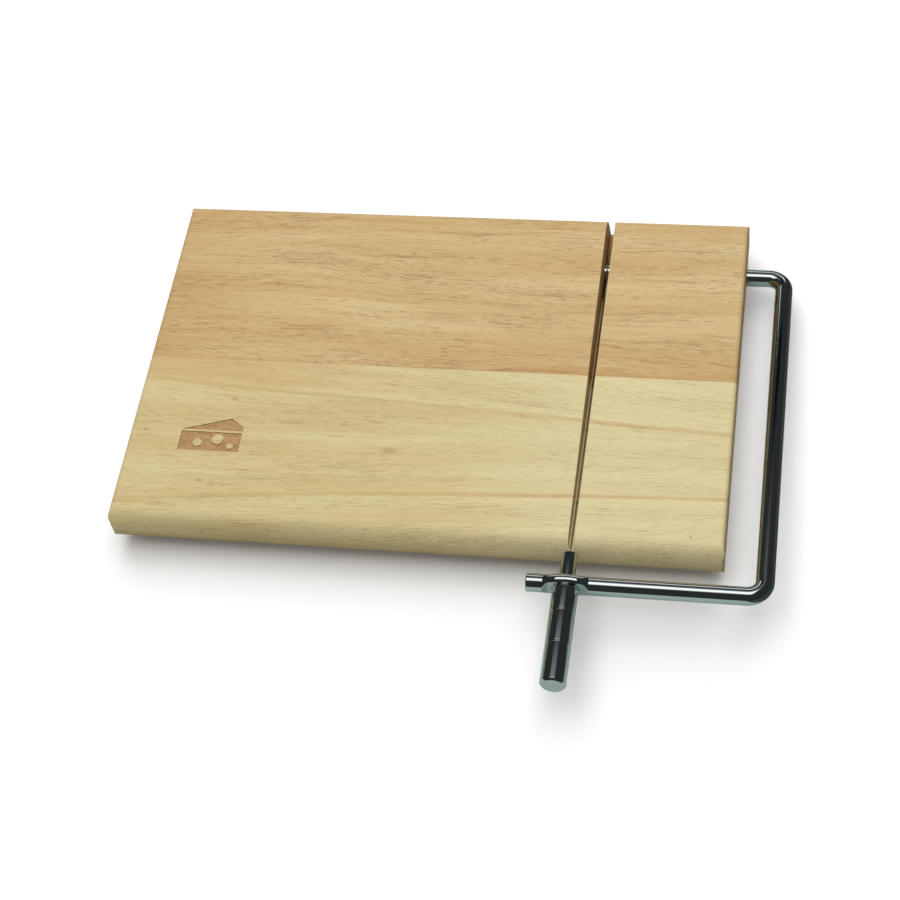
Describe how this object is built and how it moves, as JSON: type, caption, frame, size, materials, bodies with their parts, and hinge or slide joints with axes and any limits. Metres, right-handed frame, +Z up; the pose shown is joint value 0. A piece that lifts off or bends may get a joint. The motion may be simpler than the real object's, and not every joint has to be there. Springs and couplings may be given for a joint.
{
  "type": "cheese wire cutter",
  "caption": "Two-stave wooden cheese board on rubber feet, with a grooved cutting line and a hinged chrome wire bow whose screw handle tightens the wire.",
  "frame": {"origin": "centre of the bounding box of the whole object in X and Y, at the level of the feet's undersides", "axes": "+X along the board and its grain, towards the end the bow passes; +Y from the front edge, where the handle is, to the back edge; +Z up"},
  "size_m": [0.259, 0.2222, 0.0261],
  "materials": {
    "wood_pale": "oiled, satin",
    "wood_tan": "oiled, satin",
    "chrome": "polished plating",
    "wire_steel": "drawn wire",
    "foot_rubber": "matt moulded",
    "screw_steel": "zinc plated"
  },
  "bodies": {
    "board": {"stave_front": "wood_pale", "stave_rear": "wood_tan", "foot_front_left": "foot_rubber", "foot_front_right": "foot_rubber", "foot_rear_left": "foot_rubber", "foot_rear_right": "foot_rubber", "foot_screws": "screw_steel"},
    "bow": {"bow": "chrome", "cutting_wire": "wire_steel"},
    "handle": {"handle": "chrome"},
    "stud": {"tension_stud": "chrome"}
  },
  "joints": [
    {"name": "bow_hinge", "type": "hinge", "parent": "board", "child": "bow", "pos_m": [0.0531, 0.08846, 0.0115], "axis": [-1, 0, 0], "range_deg": [0, 177]},
    {"name": "handle_turn", "type": "hinge", "parent": "bow", "child": "handle", "pos_m": [0.0531, -0.06931, 0.01922], "axis": [0, 0.9988, -0.0488], "range_deg": [-360, 360]},
    {"name": "stud_slide", "type": "slide", "parent": "bow", "child": "stud", "axis": [0, -0.9988, 0.0488], "range_m": [-0.001, 0.001]}
  ],
  "couplings": [
    {"joint": "stud_slide", "follows": "handle_turn", "m_per_rad": 0.000159}
  ]
}
